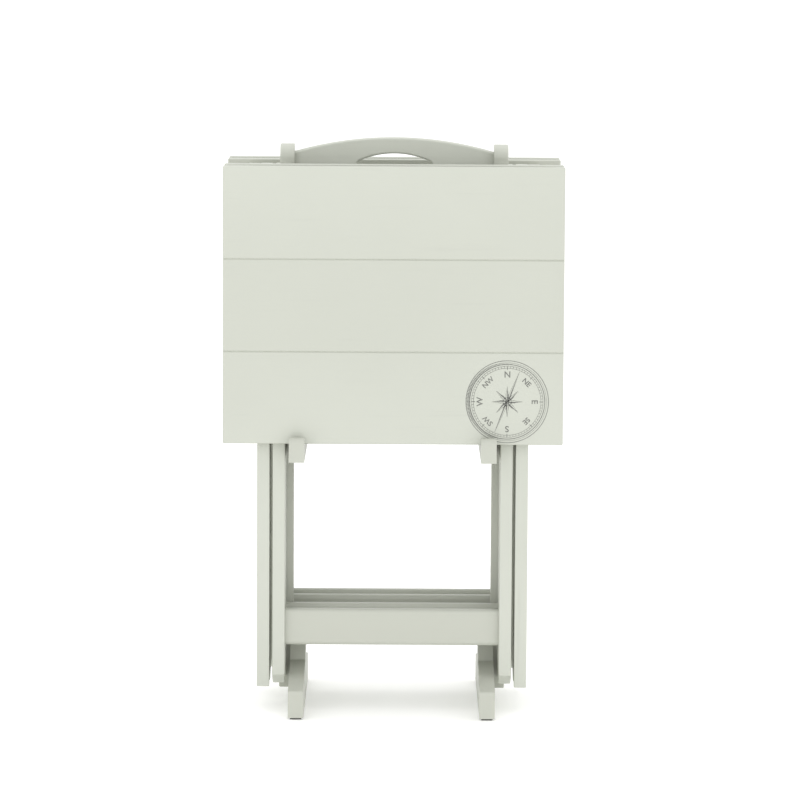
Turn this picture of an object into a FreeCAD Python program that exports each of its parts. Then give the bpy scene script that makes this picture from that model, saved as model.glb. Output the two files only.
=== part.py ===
import FreeCAD, Part
import math
import os

# Four folding tray tables hung folded on a carrying stand. Millimetres, +Z up.
# Origin: on the floor under the middle of the stand. -Y is the front.
V = FreeCAD.Vector

# How far cutting shapes run past the faces that they cut
OVERCUT = 1.0

# How near an edge lies to a place to be picked for rounding
NEAR = 0.1

# Tray panel
PANEL_WIDTH = 482.6
PANEL_HEIGHT = 394.0
PANEL_THICK = 14.0
PANEL_BOTTOM = 390.5
PANEL_ROUND = 2.0
GROOVE_DEPTH = 1.5

# Spacing of the tables from the middle of the stand, measured to the leg centre
LEG_ROWS = {1: 89.0, 2: 38.0, 3: 38.0, 4: 89.0}
REAR_TABLES = (3, 4)

# Legs
LEG_THICK = 18.0
LEG_DEPTH = 34.0
OUTER_LEG_X = 184.0
INNER_LEG_X = 162.0
HINGE_Z = 762.5
PIVOT_Z = 404.5
FOOT_Z = 46.5
HINGE_SETBACK = 18.0
OPEN_SPAN = 340.0
OPEN_ANGLE = math.asin(OPEN_SPAN / 2 / (HINGE_Z - PIVOT_Z))
LEG_ROUND = 1.5

# Cross pieces of the inner leg frame
STRETCHER_BOTTOM = 97.5
STRETCHER_HEIGHT = 52.0
STRETCHER_THICK = 18.0
STRETCHER_ROUND = 6.0
DOWEL_RADIUS = 7.0
DOWEL_SEAT = 10.0

# Cleats and clips under the tray
CLEAT_INNER_X = 194.0
CLEAT_THICK = 16.0
CLEAT_DEPTH = 30.0
CLEAT_BOTTOM = 453.5
CLEAT_TOP = 778.5
CLEAT_ROUND = 2.0
CLIP_X = 72.0
CLIP_WIDTH = 24.0
CLIP_WALL = 2.4
CLIP_PLAY = 0.3
CLIP_BASE_HALF = 18.0
CLIP_NECK_HALF = 5.0
CLIP_MOUTH_FROM = 3.5
CLIP_MOUTH_REACH = 20.0

# Bolts and screws
BOLT_RADIUS = 3.0
BOLT_PLAY = 0.05
HEAD_RADIUS = 6.5
HEAD_THICK = 3.0
HEAD_GAP = 0.05
NUT_RADIUS = 5.5
NUT_THICK = 3.0
NUT_GAP = 0.2
WASHER_RADIUS = 8.0
SCREW_RADIUS = 2.0
SCREW_HEAD_RADIUS = 4.0
SCREW_HEAD_THICK = 2.0
SCREW_BITE = 7.0
CLEAT_SCREW_Z = (493.5, 613.5, 728.5)
BAR_SCREW_YZ = ((-8.0, 378.5), (8.0, 388.0), (-8.0, 28.0), (8.0, 42.0))
BOARD_SCREW_Z = (733.5, 773.5, 102.0, 128.0)
BOARD_SCREW_BITE = 22.0
BAR_SCREW_BITE = 14.0

# Stand
POST_INNER_X = 143.0
POST_THICK = 20.5
POST_DEPTH = 38.0
POST_BOTTOM = 22.0
POST_TOP = 810.0
POST_ROUND = 2.0
BAR_INNER_X = 125.0
BAR_THICK = 22.0
BAR_OUTER_X = BAR_INNER_X + BAR_THICK
ARM_BOTTOM = 366.5
ARM_REACH = 144.0
LIP_TOP = 401.5
LIP_WIDTH = 20.0
LIP_ROUND = 9.8
NOTCH_PLAY = 3.0
NOTCH_GAP = 0.4
EDGE_ROUND = 3.0
FOOT_REACH = 160.0
FOOT_TIP_HEIGHT = 41.0
FOOT_TIP_ROUND = 5.0
FOOT_HUMP_BASE = 64.0
FOOT_HUMP_BASE_HALF = 30.0
FOOT_HUMP_TOP_HALF = 24.0
PAD_THICK = 3.0
PAD_WIDTH = 16.0
PAD_LENGTH = 36.0
PAD_REACH = 135.0
BOARD_THICK = 18.0
BOARD_BOTTOM = 713.5
BOARD_SHOULDER = 799.0
BOARD_CROWN = 819.5
HAND_HOLE_HALF = 54.0
HAND_HOLE_BOTTOM = 766.5
HAND_HOLE_SHOULDER = 784.0
HAND_HOLE_TOP = 796.5
HAND_HOLE_ROUND = 6.0
RAIL_BOTTOM = 90.0
RAIL_HEIGHT = 50.0


def box(x0, x1, y0, y1, z0, z1):
    return Part.makeBox(x1 - x0, y1 - y0, z1 - z0, V(x0, y0, z0))


def rod_x(radius, x0, x1, y, z):
    low = min(x0, x1)
    return Part.makeCylinder(radius, abs(x1 - x0), V(low, y, z), V(1, 0, 0))


def rod_y(radius, y0, y1, x, z):
    low = min(y0, y1)
    return Part.makeCylinder(radius, abs(y1 - y0), V(x, low, z), V(0, 1, 0))


def rounded(solid, radius):
    return solid.makeFillet(radius, solid.Edges)


def span_x(solid_edges, x0, x1):
    """Extrude an outline drawn in the YZ plane between two X places."""
    face = Part.Face(Part.Wire(solid_edges))
    face.translate(V(x0, 0, 0))
    return face.extrude(V(x1 - x0, 0, 0))


def chain(points):
    """Straight edges through the points, closed."""
    closed = points + [points[0]]
    return Part.makePolygon(closed).Edges


def panel_face_y(row):
    """Underside and top face of the tray at this row, front side of the stand."""
    under = -row - HINGE_SETBACK
    return under, under - PANEL_THICK


def make_panel(row):
    under, face = panel_face_y(row)
    half = PANEL_WIDTH / 2
    top = PANEL_BOTTOM + PANEL_HEIGHT
    panel = rounded(box(-half, half, face, under, PANEL_BOTTOM, top), PANEL_ROUND)
    for third in (1, 2):
        z = PANEL_BOTTOM + PANEL_HEIGHT * third / 3
        spread = GROOVE_DEPTH + OVERCUT
        groove = chain([V(0, face - OVERCUT, z - spread), V(0, face - OVERCUT, z + spread),
                        V(0, face + GROOVE_DEPTH, z)])
        panel = panel.cut(span_x(groove, -half - OVERCUT, half + OVERCUT))
    return panel


def make_cleat(side, row):
    under, _ = panel_face_y(row)
    inner = CLEAT_INNER_X
    x0, x1 = sorted((side * inner, side * (inner + CLEAT_THICK)))
    bar = box(x0, x1, under, under + CLEAT_DEPTH, CLEAT_BOTTOM, CLEAT_TOP)
    rear = [e for e in bar.Edges if e.BoundBox.YMin > under + CLEAT_DEPTH - NEAR]
    bar = bar.makeFillet(CLEAT_ROUND, rear)
    return bar.cut(rod_x(BOLT_RADIUS + BOLT_PLAY, x0, x1, -row, HINGE_Z))


def make_leg(centre_x, row, cut_side):
    """cut_side +1 leaves the front edge longest, -1 the rear edge."""
    half = LEG_DEPTH / 2
    rise = cut_side * half * math.tan(OPEN_ANGLE)
    y0 = -row - half
    y1 = -row + half
    edges = [
        Part.makeLine(V(0, y0, HINGE_Z), V(0, y0, FOOT_Z - rise)),
        Part.makeLine(V(0, y0, FOOT_Z - rise), V(0, y1, FOOT_Z + rise)),
        Part.makeLine(V(0, y1, FOOT_Z + rise), V(0, y1, HINGE_Z)),
        Part.Arc(V(0, y1, HINGE_Z), V(0, -row, HINGE_Z + half), V(0, y0, HINGE_Z)).toShape(),
    ]
    leg = span_x(edges, centre_x - LEG_THICK / 2, centre_x + LEG_THICK / 2)
    return rounded(leg, LEG_ROUND)


def make_hinge_bolt(side, row):
    leg_inner = OUTER_LEG_X - LEG_THICK / 2
    cleat_outer = CLEAT_INNER_X + CLEAT_THICK
    shank = rod_x(BOLT_RADIUS, side * leg_inner, side * cleat_outer, -row, HINGE_Z)
    head_end = cleat_outer + HEAD_THICK
    head = rod_x(HEAD_RADIUS, side * (cleat_outer + HEAD_GAP), side * head_end, -row, HINGE_Z)
    neck = rod_x(BOLT_RADIUS, side * cleat_outer, side * head_end, -row, HINGE_Z)
    nut = rod_x(NUT_RADIUS, side * (leg_inner + NUT_GAP), side * (leg_inner + NUT_THICK), -row, HINGE_Z)
    return shank.fuse([neck, head, nut]).removeSplitter()


def hinge_leg_cut(side, row):
    leg_inner = OUTER_LEG_X - LEG_THICK / 2
    hole = rod_x(BOLT_RADIUS + BOLT_PLAY, side * leg_inner, side * (leg_inner + LEG_THICK), -row, HINGE_Z)
    pocket_end = leg_inner + NUT_THICK + BOLT_PLAY
    pocket = rod_x(NUT_RADIUS + BOLT_PLAY, side * leg_inner, side * pocket_end, -row, HINGE_Z)
    return hole.fuse(pocket)


def make_pivot_bolt(side, row):
    inner_face = INNER_LEG_X - LEG_THICK / 2
    gap_in = INNER_LEG_X + LEG_THICK / 2
    gap_out = OUTER_LEG_X - LEG_THICK / 2
    outer_face = OUTER_LEG_X + LEG_THICK / 2
    shank = rod_x(BOLT_RADIUS, side * inner_face, side * outer_face, -row, PIVOT_Z)
    washer = rod_x(WASHER_RADIUS, side * gap_in, side * gap_out, -row, PIVOT_Z)
    head = rod_x(HEAD_RADIUS, side * outer_face, side * (outer_face + HEAD_THICK), -row, PIVOT_Z)
    nut = rod_x(NUT_RADIUS, side * (inner_face - NUT_THICK), side * inner_face, -row, PIVOT_Z)
    return shank.fuse([washer, head, nut]).removeSplitter()


def make_stretcher(row):
    half = INNER_LEG_X - LEG_THICK / 2
    y0 = -row - STRETCHER_THICK / 2
    rail = box(-half, half, y0, y0 + STRETCHER_THICK, STRETCHER_BOTTOM, STRETCHER_BOTTOM + STRETCHER_HEIGHT)
    long_edges = [e for e in rail.Edges if e.BoundBox.XLength > half]
    return rail.makeFillet(STRETCHER_ROUND, long_edges)


def make_dowel(row):
    half = INNER_LEG_X - LEG_THICK / 2 + DOWEL_SEAT
    return rod_x(DOWEL_RADIUS, -half, half, -row, HINGE_Z)


def make_clip(side, row):
    under, _ = panel_face_y(row)
    x0 = side * CLIP_X - CLIP_WIDTH / 2
    x1 = x0 + CLIP_WIDTH
    z = HINGE_Z - OPEN_SPAN
    bore = DOWEL_RADIUS + CLIP_PLAY
    outer = bore + CLIP_WALL
    base = box(x0, x1, under, under + CLIP_WALL, z - CLIP_BASE_HALF, z + CLIP_BASE_HALF)
    neck = box(x0, x1, under, -row, z - CLIP_NECK_HALF, z + CLIP_NECK_HALF)
    ring = rod_x(outer, x0, x1, -row, z)
    reach = CLIP_MOUTH_REACH
    mouth = box(x0 - OVERCUT, x1 + OVERCUT, -row + CLIP_MOUTH_FROM, -row + reach, z - reach, z + reach)
    seat = rod_x(bore, x0 - OVERCUT, x1 + OVERCUT, -row, z)
    clip = base.fuse([neck, ring]).cut(seat).cut(mouth)
    return clip.removeSplitter()


def make_cleat_screw(side, row, z):
    under, _ = panel_face_y(row)
    x = side * (CLEAT_INNER_X + CLEAT_THICK / 2)
    back = under + CLEAT_DEPTH
    shank = rod_y(SCREW_RADIUS, under - SCREW_BITE, back, x, z)
    head = rod_y(SCREW_HEAD_RADIUS, back - SCREW_HEAD_THICK, back, x, z)
    return shank.fuse(head).removeSplitter()


def make_table(number):
    """All pieces of one folded table, in front of the stand, as {name: [solids]}."""
    row = LEG_ROWS[number]
    sides = (-1, 1)
    screws = [make_cleat_screw(side, row, z) for side in sides for z in CLEAT_SCREW_Z]
    hinge_bolts = [make_hinge_bolt(side, row) for side in sides]
    pivot_bolts = [make_pivot_bolt(side, row) for side in sides]
    dowel = make_dowel(row)
    panel = make_panel(row).cut(screws)
    cleats = [make_cleat(side, row).cut(screws) for side in sides]
    outer = [make_leg(side * OUTER_LEG_X, row, 1).cut([hinge_leg_cut(side, row)] + pivot_bolts)
             for side in sides]
    inner = [make_leg(side * INNER_LEG_X, row, -1).cut([dowel] + pivot_bolts) for side in sides]
    return {
        "panel": [panel],
        "cleats": cleats,
        "outer_leg_left": [outer[0]],
        "outer_leg_right": [outer[1]],
        "inner_leg_left": [inner[0]],
        "inner_leg_right": [inner[1]],
        "stretcher": [make_stretcher(row)],
        "latch_dowel": [dowel],
        "hinge_bolts": hinge_bolts,
        "pivot_bolts": pivot_bolts,
        "latch_clips": [make_clip(side, row) for side in sides],
        "cleat_screws": screws,
    }


def face_rear(pieces):
    """Turn a table round to hang behind the stand; left and right change places."""
    turned = {}
    for name, solids in pieces.items():
        for solid in solids:
            solid.rotate(V(0, 0, 0), V(0, 0, 1), 180)
        swapped = name.replace("left", "x").replace("right", "left").replace("x", "right")
        turned[swapped if "leg_" in name else name] = solids
    return turned


def make_post(side):
    half = POST_DEPTH / 2
    shoulder = POST_TOP - half
    edges = [
        Part.makeLine(V(0, -half, shoulder), V(0, -half, POST_BOTTOM)),
        Part.makeLine(V(0, -half, POST_BOTTOM), V(0, half, POST_BOTTOM)),
        Part.makeLine(V(0, half, POST_BOTTOM), V(0, half, shoulder)),
        Part.Arc(V(0, half, shoulder), V(0, 0, POST_TOP), V(0, -half, shoulder)).toShape(),
    ]
    x0, x1 = sorted((side * POST_INNER_X, side * (POST_INNER_X + POST_THICK)))
    post = span_x(edges, x0, x1)
    outside = side * (POST_INNER_X + POST_THICK)
    outer_edges = [e for e in post.Edges if abs(e.CenterOfMass.x - outside) < NEAR]
    return post.makeFillet(POST_ROUND, outer_edges)


def make_handle_board():
    half = POST_INNER_X
    y0 = -BOARD_THICK / 2
    edges = [
        Part.makeLine(V(-half, y0, BOARD_SHOULDER), V(-half, y0, BOARD_BOTTOM)),
        Part.makeLine(V(-half, y0, BOARD_BOTTOM), V(half, y0, BOARD_BOTTOM)),
        Part.makeLine(V(half, y0, BOARD_BOTTOM), V(half, y0, BOARD_SHOULDER)),
        Part.Arc(V(half, y0, BOARD_SHOULDER), V(0, y0, BOARD_CROWN), V(-half, y0, BOARD_SHOULDER)).toShape(),
    ]
    board = Part.Face(Part.Wire(edges)).extrude(V(0, BOARD_THICK, 0)).cut(make_hand_hole())
    crown = [e for e in board.Edges if e.BoundBox.ZMax > BOARD_CROWN - EDGE_ROUND]
    rim = [e for e in board.Edges if e.BoundBox.YLength < NEAR
           and max(abs(e.BoundBox.XMin), abs(e.BoundBox.XMax)) < HAND_HOLE_HALF + EDGE_ROUND]
    return board.makeFillet(EDGE_ROUND, crown + rim)


def make_hand_hole():
    """Opening through the board: flat below, arched above, with rounded corners."""
    half = HAND_HOLE_HALF
    y0 = -BOARD_THICK / 2 - OVERCUT
    shoulder = V(half, y0, HAND_HOLE_SHOULDER)
    other_shoulder = V(-half, y0, HAND_HOLE_SHOULDER)
    edges = [
        Part.makeLine(other_shoulder, V(-half, y0, HAND_HOLE_BOTTOM)),
        Part.makeLine(V(-half, y0, HAND_HOLE_BOTTOM), V(half, y0, HAND_HOLE_BOTTOM)),
        Part.makeLine(V(half, y0, HAND_HOLE_BOTTOM), shoulder),
        Part.Arc(shoulder, V(0, y0, HAND_HOLE_TOP), other_shoulder).toShape(),
    ]
    hole = Part.Face(Part.Wire(edges)).extrude(V(0, -2 * y0, 0))
    corners = [e for e in hole.Edges if e.BoundBox.YLength > BOARD_THICK]
    return hole.makeFillet(HAND_HOLE_ROUND, corners)


def make_rail():
    y0 = -BOARD_THICK / 2
    return box(-POST_INNER_X, POST_INNER_X, y0, -y0, RAIL_BOTTOM, RAIL_BOTTOM + RAIL_HEIGHT)


def make_arm(side):
    """Bar with four notches that the bottom edges of the trays stand in, with a small gap below."""
    x0, x1 = sorted((side * BAR_INNER_X, side * BAR_OUTER_X))
    arm = box(x0, x1, -ARM_REACH, ARM_REACH, ARM_BOTTOM, LIP_TOP)
    for number in (1, 2):
        under, face = panel_face_y(LEG_ROWS[number])
        for turn in (1, -1):
            y0, y1 = sorted((turn * (face - NOTCH_PLAY), turn * (under + NOTCH_PLAY)))
            notch = box(x0 - OVERCUT, x1 + OVERCUT, y0, y1, PANEL_BOTTOM - NOTCH_GAP, LIP_TOP + OVERCUT)
            arm = arm.cut(notch)
    end_from = ARM_REACH - LIP_WIDTH - NEAR
    ends = [e for e in top_edges(arm) if abs(e.CenterOfMass.y) > end_from]
    arm = arm.makeFillet(LIP_ROUND, ends)
    inner = [e for e in top_edges(arm) if abs(e.CenterOfMass.y) < end_from]
    return arm.makeFillet(EDGE_ROUND, inner)


def top_edges(arm):
    """Edges across the arm along the tops of its lips."""
    across = [e for e in arm.Edges if e.BoundBox.XLength > BAR_THICK - NEAR]
    return [e for e in across if e.BoundBox.ZMin > LIP_TOP - NEAR]


def make_foot(side):
    """Bar that rises from each tip to a hump in the middle, which carries the lower rail."""
    low = PAD_THICK
    half = [V(0, -FOOT_REACH, low), V(0, -FOOT_REACH, FOOT_TIP_HEIGHT),
            V(0, -FOOT_HUMP_BASE_HALF, FOOT_HUMP_BASE), V(0, -FOOT_HUMP_TOP_HALF, RAIL_BOTTOM)]
    other = [V(0, -p.y, p.z) for p in reversed(half)]
    x0, x1 = sorted((side * BAR_INNER_X, side * BAR_OUTER_X))
    foot = span_x(chain(half + other), x0, x1)
    tips = [e for e in foot.Edges if abs(e.CenterOfMass.y) > FOOT_REACH - NEAR
            and abs(e.CenterOfMass.z - FOOT_TIP_HEIGHT) < NEAR]
    return foot.makeFillet(FOOT_TIP_ROUND, tips)


def make_pads():
    middle = BAR_INNER_X + BAR_THICK / 2
    return [make_pad(side * middle, end * PAD_REACH) for side in (-1, 1) for end in (-1, 1)]


def make_pad(x, y):
    return box(x - PAD_WIDTH / 2, x + PAD_WIDTH / 2, y - PAD_LENGTH / 2, y + PAD_LENGTH / 2, 0, PAD_THICK)


def make_frame_screws():
    """Screws through the bars into the posts, and through the posts into the cross boards."""
    screws = []
    for side in (-1, 1):
        for y, z in BAR_SCREW_YZ:
            screws.append(frame_screw(side, BAR_INNER_X, POST_INNER_X + BAR_SCREW_BITE, y, z))
        for z in BOARD_SCREW_Z:
            screws.append(frame_screw(side, POST_INNER_X + POST_THICK, POST_INNER_X - BOARD_SCREW_BITE, 0, z))
    return screws


def frame_screw(side, start, end, y, z):
    shank = rod_x(SCREW_RADIUS, side * start, side * end, y, z)
    inward = 1 if end > start else -1
    head = rod_x(SCREW_HEAD_RADIUS, side * start, side * (start + inward * SCREW_HEAD_THICK), y, z)
    return shank.fuse(head).removeSplitter()


def make_stand():
    """Arms and feet are let into the posts, so the posts are cut round them."""
    screws = make_frame_screws()
    left_bars = [make_arm(-1), make_foot(-1)]
    right_bars = [make_arm(1), make_foot(1)]
    return {
        "left_post": [make_post(-1).cut(left_bars + screws)],
        "right_post": [make_post(1).cut(right_bars + screws)],
        "handle_board": [make_handle_board().cut(screws)],
        "lower_rail": [make_rail().cut(screws)],
        "left_arm": [left_bars[0].cut(screws)],
        "right_arm": [right_bars[0].cut(screws)],
        "left_foot": [left_bars[1].cut(screws)],
        "right_foot": [right_bars[1].cut(screws)],
        "frame_screws": screws,
        "foot_pads": make_pads(),
    }


def save(name, solids):
    flat = [s for shape in solids for s in shape.Solids]
    shape = flat[0] if len(flat) == 1 else Part.makeCompound(flat)
    if not shape.isValid():
        raise ValueError(name + " is not a valid solid")
    shape.exportStep("parts/" + name + ".step")
    print(name, len(flat), "solids", round(shape.Volume), "mm3")


os.makedirs("parts", exist_ok=True)
for stand_name, stand_solids in make_stand().items():
    save("stand_" + stand_name, stand_solids)
for table_number in LEG_ROWS:
    table = make_table(table_number)
    if table_number in REAR_TABLES:
        table = face_rear(table)
    for piece_name, piece_solids in table.items():
        save("table_" + str(table_number) + "_" + piece_name, piece_solids)
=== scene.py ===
import math

import bmesh
import bpy
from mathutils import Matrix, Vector


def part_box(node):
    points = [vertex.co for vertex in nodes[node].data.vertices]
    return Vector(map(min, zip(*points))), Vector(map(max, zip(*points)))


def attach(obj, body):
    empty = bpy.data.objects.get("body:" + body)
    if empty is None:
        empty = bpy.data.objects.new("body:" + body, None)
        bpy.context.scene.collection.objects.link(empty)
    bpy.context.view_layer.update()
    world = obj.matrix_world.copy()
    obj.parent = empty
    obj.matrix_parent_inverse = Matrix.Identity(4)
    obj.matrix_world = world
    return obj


# Four painted folding tray tables on their carrying stand. Metres, +Z up, -Y is the front.

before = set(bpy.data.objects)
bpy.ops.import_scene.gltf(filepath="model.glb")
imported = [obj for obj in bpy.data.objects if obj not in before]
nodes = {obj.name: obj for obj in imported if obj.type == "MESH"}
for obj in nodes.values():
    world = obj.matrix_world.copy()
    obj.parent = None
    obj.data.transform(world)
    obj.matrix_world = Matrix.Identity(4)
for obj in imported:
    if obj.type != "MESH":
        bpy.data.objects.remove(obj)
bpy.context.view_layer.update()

# Camera, as the photograph sees the set
CAMERA_PLACE = (0.006, -6.121, 1.1575)
CAMERA_DOWN = math.radians(6.687)
CAMERA_ROLL = math.radians(-0.32)
CAMERA_LENS = 191.9

# Colours, linear
PAINT = (0.545, 0.563, 0.500, 1)
PAINT_WORN = (0.500, 0.514, 0.452, 1)
INK = (0.150, 0.153, 0.140, 1)
STEEL = (0.58, 0.57, 0.54, 1)
CLIP = (0.78, 0.78, 0.74, 1)
RUBBER = (0.035, 0.035, 0.035, 1)
RUBBER_DUSTY = (0.075, 0.073, 0.070, 1)
FLOOR = (0.93, 0.93, 0.92, 1)
FLOOR_LIGHTER = (0.95, 0.95, 0.94, 1)
FLOOR_REACH = 150.0
FLOOR_GLOW = 0.25

# Studio light: each lamp's name, place, target, size and watts
WORLD_STRENGTH = 1.12
LAMPS = (
    ("key", (-1.6, -3.4, 3.0), (0, 0, 0.45), (2.6, 2.6), 8),
    ("fill", (2.8, -2.6, 1.8), (0, 0, 0.5), (2.4, 2.4), 4),
    ("top", (0, 0.2, 3.4), (0, 0, 0.4), (3.0, 3.0), 12),
)

# Compass print on the front tray
DIAL_RADIUS = 0.0588
DIAL_FROM_RIGHT = 0.0795
DIAL_FROM_BOTTOM = 0.0618
INK_LIFT = 0.00008
INK_THICK = 0.00010
NEEDLE_LEAN = math.radians(22)
LETTER_BOLD = 0.00012
LETTERS = ("N", "NE", "E", "SE", "S", "SW", "W", "NW")

# Lines of the print: widths in metres
SCALE_LINE = 0.0004
SCALE_MAIN_LINE = 0.0008
ROSE_INNER_LINE = 0.00022
ROSE_OUTER_LINE = 0.00026
NEEDLE_LINE = 0.00028
HUB_LINE = 0.0006

# Places on the dial, as shares of its radius
CASE_INNER = 0.905
SCALE_OUTER = 0.862
SCALE_INNER = 0.812
SCALE_MAIN = 0.775
NEEDLE_REACH = 0.79
LETTER_RING = 0.655
ROSE_REACH = 0.37
ROSE_WAIST = 0.10


# ---- node helpers -------------------------------------------------------------------

class Nodes:
    """A short way to write a material's node tree."""

    def __init__(self, name):
        self.material = bpy.data.materials.new(name)
        self.material.use_nodes = True
        self.tree = self.material.node_tree
        self.shader = self.tree.nodes["Principled BSDF"]

    def add(self, kind, **settings):
        node = self.tree.nodes.new(kind)
        for key, value in settings.items():
            if hasattr(node, key):
                setattr(node, key, value)
            else:
                node.inputs[key.replace("_", " ")].default_value = value
        return node

    def link(self, source, target):
        self.tree.links.new(source, target)

    def surface(self, scale):
        """Object coordinates, stretched so that a texture runs along the grain."""
        place = self.add("ShaderNodeTexCoord")
        mapping = self.add("ShaderNodeMapping")
        mapping.inputs["Scale"].default_value = scale
        self.link(place.outputs["Object"], mapping.inputs["Vector"])
        return mapping.outputs["Vector"]

    def noise(self, vector, scale, detail, roughness=0.5):
        node = self.add("ShaderNodeTexNoise", Scale=scale, Detail=detail, Roughness=roughness)
        self.link(vector, node.inputs["Vector"])
        return node.outputs["Fac"]

    def ramp(self, value, low, high, low_at=0.0, high_at=1.0):
        node = self.add("ShaderNodeValToRGB")
        node.color_ramp.elements[0].position = low_at
        node.color_ramp.elements[0].color = low
        node.color_ramp.elements[1].position = high_at
        node.color_ramp.elements[1].color = high
        self.link(value, node.inputs["Fac"])
        return node.outputs["Color"]

    def blend(self, factor, first, second):
        node = self.add("ShaderNodeMix", data_type="RGBA")
        self.link(factor, node.inputs[0])
        for value, socket in ((first, node.inputs[6]), (second, node.inputs[7])):
            if isinstance(value, tuple):
                socket.default_value = value
            else:
                self.link(value, socket)
        return node.outputs[2]

    def roughness(self, value, low, high):
        node = self.add("ShaderNodeMapRange")
        node.inputs["To Min"].default_value = low
        node.inputs["To Max"].default_value = high
        self.link(value, node.inputs["Value"])
        self.link(node.outputs["Result"], self.shader.inputs["Roughness"])

    def bump(self, heights):
        """heights: (value, distance in metres) from the coarsest to the finest."""
        normal = None
        for value, distance in heights:
            node = self.add("ShaderNodeBump", Strength=1.0, Distance=distance)
            self.link(value, node.inputs["Height"])
            if normal is not None:
                self.link(normal, node.inputs["Normal"])
            normal = node.outputs["Normal"]
        self.link(normal, self.shader.inputs["Normal"])


# ---- materials ----------------------------------------------------------------------

def painted_wood(name, grain_axis):
    """Satin paint: brush strokes and faint open grain along one axis, edges a little rubbed."""
    mat = Nodes(name)
    stretch = [42.0, 42.0, 42.0]
    stretch[grain_axis] = 2.2
    along = mat.surface(stretch)
    plain = mat.surface((1, 1, 1))
    grain = mat.noise(along, 2.4, 6.0, 0.62)
    strokes = mat.noise(along, 7.0, 3.0, 0.5)
    cloud = mat.noise(plain, 5.0, 3.0)
    peel = mat.noise(plain, 900.0, 2.0)
    edge = mat.add("ShaderNodeNewGeometry").outputs["Pointiness"]
    rubbed = mat.ramp(edge, (0, 0, 0, 1), (1, 1, 1, 1), 0.52, 0.60)
    lighter = tuple(min(1.0, c * 1.035) for c in PAINT[:3]) + (1,)
    tone = mat.ramp(cloud, PAINT, lighter, 0.35, 0.68)
    pores = mat.ramp(grain, (1, 1, 1, 1), (0, 0, 0, 1), 0.24, 0.40)
    with_grain = mat.blend(pores, tone, tuple(c * 0.955 for c in PAINT[:3]) + (1,))
    mat.link(mat.blend(rubbed, with_grain, PAINT_WORN), mat.shader.inputs["Base Color"])
    mat.roughness(strokes, 0.40, 0.54)
    mat.shader.inputs["Coat Weight"].default_value = 0.12
    mat.shader.inputs["Coat Roughness"].default_value = 0.30
    mat.bump(((grain, 0.00016), (strokes, 0.00007), (peel, 0.00002)))
    return mat.material


def ink():
    """Grey line print, a little uneven where it sinks into the paint."""
    mat = Nodes("dial_ink")
    plain = mat.surface((1, 1, 1))
    fade = mat.noise(plain, 260.0, 4.0)
    lighter = tuple(c * 1.35 for c in INK[:3]) + (1,)
    mat.link(mat.ramp(fade, INK, lighter, 0.38, 0.66), mat.shader.inputs["Base Color"])
    mat.roughness(fade, 0.5, 0.65)
    mat.bump(((fade, 0.00001),))
    return mat.material


def steel():
    mat = Nodes("bolt_steel_look")
    turned = mat.noise(mat.surface((1, 60, 60)), 30.0, 3.0)
    spots = mat.noise(mat.surface((1, 1, 1)), 220.0, 4.0)
    dull = tuple(c * 0.72 for c in STEEL[:3]) + (1,)
    mat.link(mat.ramp(spots, STEEL, dull, 0.45, 0.8), mat.shader.inputs["Base Color"])
    mat.shader.inputs["Metallic"].default_value = 1.0
    mat.roughness(turned, 0.26, 0.42)
    mat.bump(((turned, 0.00003), (spots, 0.00001)))
    return mat.material


def moulded_plastic():
    mat = Nodes("clip_plastic_look")
    plain = mat.surface((1, 1, 1))
    spark = mat.noise(plain, 1400.0, 2.0)
    cloud = mat.noise(plain, 60.0, 3.0)
    shade = tuple(c * 0.93 for c in CLIP[:3]) + (1,)
    mat.link(mat.ramp(cloud, CLIP, shade, 0.35, 0.7), mat.shader.inputs["Base Color"])
    mat.roughness(spark, 0.42, 0.55)
    mat.bump(((spark, 0.00003),))
    return mat.material


def rubber():
    mat = Nodes("foot_rubber_look")
    plain = mat.surface((1, 1, 1))
    dust = mat.noise(plain, 120.0, 5.0)
    mat.link(mat.ramp(dust, RUBBER, RUBBER_DUSTY, 0.45, 0.75), mat.shader.inputs["Base Color"])
    mat.roughness(dust, 0.72, 0.88)
    mat.bump(((dust, 0.00006),))
    return mat.material


def dress_nodes():
    """Every CAD node gets its look; the painted pieces by the way their grain runs."""
    across = painted_wood("painted_wood_across", 0)
    deep = painted_wood("painted_wood_deep", 1)
    upright = painted_wood("painted_wood_upright", 2)
    metal = steel()
    plastic = moulded_plastic()
    pad = rubber()
    looks = (
        (("panel", "stretcher", "latch_dowel", "handle_board", "lower_rail"), across),
        (("arm", "foot"), deep),
        (("_leg_", "post", "cleats"), upright),
        (("bolts", "screws"), metal),
        (("clips",), plastic),
        (("pads",), pad),
    )
    for name, obj in nodes.items():
        for words, material in looks:
            if any(word in name for word in words):
                chosen = material
        obj.data.materials[0] = chosen


# ---- compass print ------------------------------------------------------------------

def ring(bm, radius, width, steps=144):
    """A flat ring of ink in the dial's own plane: X right, Y up."""
    inner = []
    outer = []
    for i in range(steps):
        angle = 2 * math.pi * i / steps
        way = Vector((math.cos(angle), math.sin(angle), 0))
        inner.append(bm.verts.new(way * (radius - width / 2)))
        outer.append(bm.verts.new(way * (radius + width / 2)))
    for i in range(steps):
        j = (i + 1) % steps
        bm.faces.new((inner[i], outer[i], outer[j], inner[j]))


def polygon(bm, points):
    bm.faces.new([bm.verts.new((x, y, 0)) for x, y in points])


def at(radius, angle):
    """A place on the dial: angle clockwise from north."""
    return radius * math.sin(angle), radius * math.cos(angle)


def tick(bm, angle, start, end, width):
    half = width / 2
    side_x, side_y = math.cos(angle) * half, -math.sin(angle) * half
    x0, y0 = at(start, angle)
    x1, y1 = at(end, angle)
    polygon(bm, ((x0 + side_x, y0 + side_y), (x0 - side_x, y0 - side_y),
                 (x1 - side_x, y1 - side_y), (x1 + side_x, y1 + side_y)))


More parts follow.
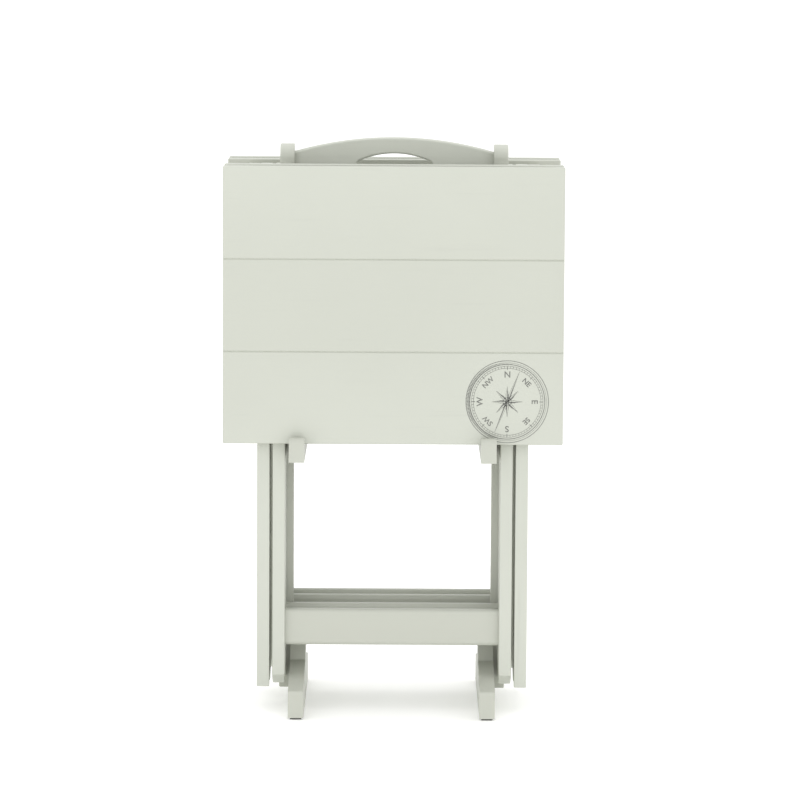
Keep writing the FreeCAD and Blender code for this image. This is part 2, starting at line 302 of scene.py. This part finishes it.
def star_point(bm, angle, length, waist):
    """One point of the rose: its right half solid, its left half an outline."""
    tip = at(length, angle)
    right = at(waist, angle + math.pi / 8)
    left = at(waist, angle - math.pi / 8)
    polygon(bm, ((0, 0), tip, right))
    line(bm, (0, 0), left, ROSE_INNER_LINE)
    line(bm, left, tip, ROSE_OUTER_LINE)


def line(bm, start, end, width):
    run = Vector((end[0] - start[0], end[1] - start[1], 0))
    side = Vector((-run.y, run.x, 0)).normalized() * (width / 2)
    polygon(bm, ((start[0] + side.x, start[1] + side.y), (start[0] - side.x, start[1] - side.y),
                 (end[0] - side.x, end[1] - side.y), (end[0] + side.x, end[1] + side.y)))


def needle(bm, lean, reach):
    half = reach * 0.045
    side = at(half, lean + math.pi / 2)
    head = at(reach, lean)
    tail = at(-reach, lean)
    polygon(bm, (head, side, (0, 0)))
    line(bm, head, (-side[0], -side[1]), NEEDLE_LINE)
    line(bm, tail, side, NEEDLE_LINE)
    polygon(bm, (tail, (0, 0), (-side[0], -side[1])))


def raise_ink(bm):
    """Gives the flat print a real, very small thickness."""
    faces = bm.faces[:]
    raised = bmesh.ops.extrude_face_region(bm, geom=faces)["geom"]
    moved = [v for v in raised if isinstance(v, bmesh.types.BMVert)]
    bmesh.ops.translate(bm, verts=moved, vec=(0, 0, INK_THICK))
    bmesh.ops.recalc_face_normals(bm, faces=bm.faces)


def print_piece(name, draw):
    bm = bmesh.new()
    draw(bm)
    raise_ink(bm)
    mesh = bpy.data.meshes.new(name)
    bm.to_mesh(mesh)
    bm.free()
    piece = bpy.data.objects.new(name, mesh)
    bpy.context.collection.objects.link(piece)
    return piece


def draw_case(bm):
    """The rim of the drawn case: two lines, shaded between on the side away from the light."""
    r = DIAL_RADIUS
    ring(bm, r * 0.994, 0.0008)
    ring(bm, r * CASE_INNER, 0.0009)
    ring(bm, r * 0.945, 0.0003)
    for step in range(90):
        angle = math.radians(188 + step * 2.0)
        depth = math.sin(math.radians(step * 2.0))
        tick(bm, angle, r * CASE_INNER, r * (0.92 + 0.065 * depth), 0.0003 + 0.0005 * depth)


def draw_scale(bm):
    """The degree scale: a double line with a tick at every five degrees."""
    r = DIAL_RADIUS
    ring(bm, r * SCALE_OUTER, SCALE_LINE)
    ring(bm, r * SCALE_INNER, SCALE_LINE)
    for step in range(72):
        main = step % 9 == 0
        start = r * (SCALE_MAIN if main else SCALE_INNER)
        width = SCALE_MAIN_LINE if main else SCALE_LINE
        tick(bm, math.radians(step * 5), start, r * SCALE_OUTER, width)


def draw_rose(bm):
    r = DIAL_RADIUS
    for step in range(8):
        star_point(bm, math.pi / 4 * step, r * ROSE_REACH, r * ROSE_WAIST)
    for step in range(16):
        tick(bm, math.pi / 8 * (step + 0.5), r * 0.13, r * 0.19, 0.0003)


def draw_needle(bm):
    needle(bm, NEEDLE_LEAN, DIAL_RADIUS * NEEDLE_REACH)
    ring(bm, DIAL_RADIUS * 0.10, HUB_LINE, 48)
    ring(bm, DIAL_RADIUS * 0.045, HUB_LINE, 32)


def letter(text, angle):
    """A direction letter, upright to the rim, turned into a mesh."""
    curve = bpy.data.curves.new("letter_" + text, "FONT")
    curve.body = text
    curve.size = DIAL_RADIUS * (0.21 if len(text) == 1 else 0.175)
    curve.align_x = "CENTER"
    curve.align_y = "CENTER"
    curve.extrude = INK_THICK / 2
    curve.offset = LETTER_BOLD
    maker = bpy.data.objects.new("maker", curve)
    bpy.context.collection.objects.link(maker)
    mesh = bpy.data.meshes.new_from_object(maker)
    bpy.data.objects.remove(maker)
    piece = bpy.data.objects.new("dial_letter_" + text, mesh)
    bpy.context.collection.objects.link(piece)
    x, y = at(DIAL_RADIUS * LETTER_RING, angle)
    for vert in mesh.vertices:
        cos, sin = math.cos(-angle), math.sin(-angle)
        vert.co = (x + cos * vert.co.x - sin * vert.co.y, y + sin * vert.co.x + cos * vert.co.y,
                   vert.co.z + INK_THICK / 2)
    return piece


def lay_on_tray(piece, centre):
    """Stands the dial's plane up on the front tray: its X to +X, its Y to +Z, out to -Y."""
    for vert in piece.data.vertices:
        x, y, out = vert.co
        vert.co = (centre.x + x, centre.y - out, centre.z + y)


def compass(material):
    low, high = (Vector(corner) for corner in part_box("table_1_panel"))
    centre = Vector((high.x - DIAL_FROM_RIGHT, low.y - INK_LIFT, low.z + DIAL_FROM_BOTTOM))
    pieces = [
        print_piece("dial_case", draw_case),
        print_piece("dial_scale", draw_scale),
        print_piece("dial_rose", draw_rose),
        print_piece("dial_needle", draw_needle),
    ]
    pieces += [letter(text, math.pi / 4 * i) for i, text in enumerate(LETTERS)]
    for piece in pieces:
        lay_on_tray(piece, centre)
        piece.data.materials.clear()
        piece.data.materials.append(material)
        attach(piece, "table_1_tray")


# ---- studio -------------------------------------------------------------------------

def studio_floor():
    """A plain pale floor that runs far enough to be the background from every side."""
    corners = [(x * FLOOR_REACH, y * FLOOR_REACH, 0.0) for x, y in ((-1, -1), (1, -1), (1, 1), (-1, 1))]
    mesh = bpy.data.meshes.new("studio_floor")
    mesh.from_pydata(corners, [], [(0, 1, 2, 3)])
    floor = bpy.data.objects.new("studio_floor", mesh)
    bpy.context.collection.objects.link(floor)
    mat = Nodes("studio_floor_look")
    fleck = mat.noise(mat.surface((1, 1, 1)), 3.0, 2.0)
    mat.link(mat.ramp(fleck, FLOOR, FLOOR_LIGHTER), mat.shader.inputs["Base Color"])
    mat.shader.inputs["Roughness"].default_value = 0.9
    mat.shader.inputs["Emission Color"].default_value = FLOOR
    mat.shader.inputs["Emission Strength"].default_value = FLOOR_GLOW
    mesh.materials.append(mat.material)


def area_light(name, place, target, size, power):
    data = bpy.data.lights.new(name, "AREA")
    data.shape = "RECTANGLE"
    data.size, data.size_y = size
    data.energy = power
    lamp = bpy.data.objects.new(name, data)
    lamp.location = place
    lamp.rotation_euler = (Vector(target) - Vector(place)).to_track_quat("-Z", "Y").to_euler()
    bpy.context.collection.objects.link(lamp)


def lights():
    world = bpy.data.worlds.new("studio_world")
    world.use_nodes = True
    world.node_tree.nodes["Background"].inputs["Color"].default_value = (1.0, 1.0, 1.0, 1)
    world.node_tree.nodes["Background"].inputs["Strength"].default_value = WORLD_STRENGTH
    bpy.context.scene.world = world
    for name, place, target, size, power in LAMPS:
        area_light(name, place, target, size, power)


def camera():
    data = bpy.data.cameras.new("camera")
    data.lens = CAMERA_LENS
    data.sensor_width = 36.0
    data.dof.use_dof = False
    data.clip_start = 0.05
    data.clip_end = 100.0
    cam = bpy.data.objects.new("camera", data)
    cam.location = CAMERA_PLACE
    cam.rotation_mode = "XYZ"
    cam.rotation_euler = (math.pi / 2 - CAMERA_DOWN, CAMERA_ROLL, 0)
    bpy.context.collection.objects.link(cam)
    bpy.context.scene.camera = cam


bpy.context.scene.view_settings.view_transform = "Standard"
dress_nodes()
compass(ink())
studio_floor()
lights()
camera()
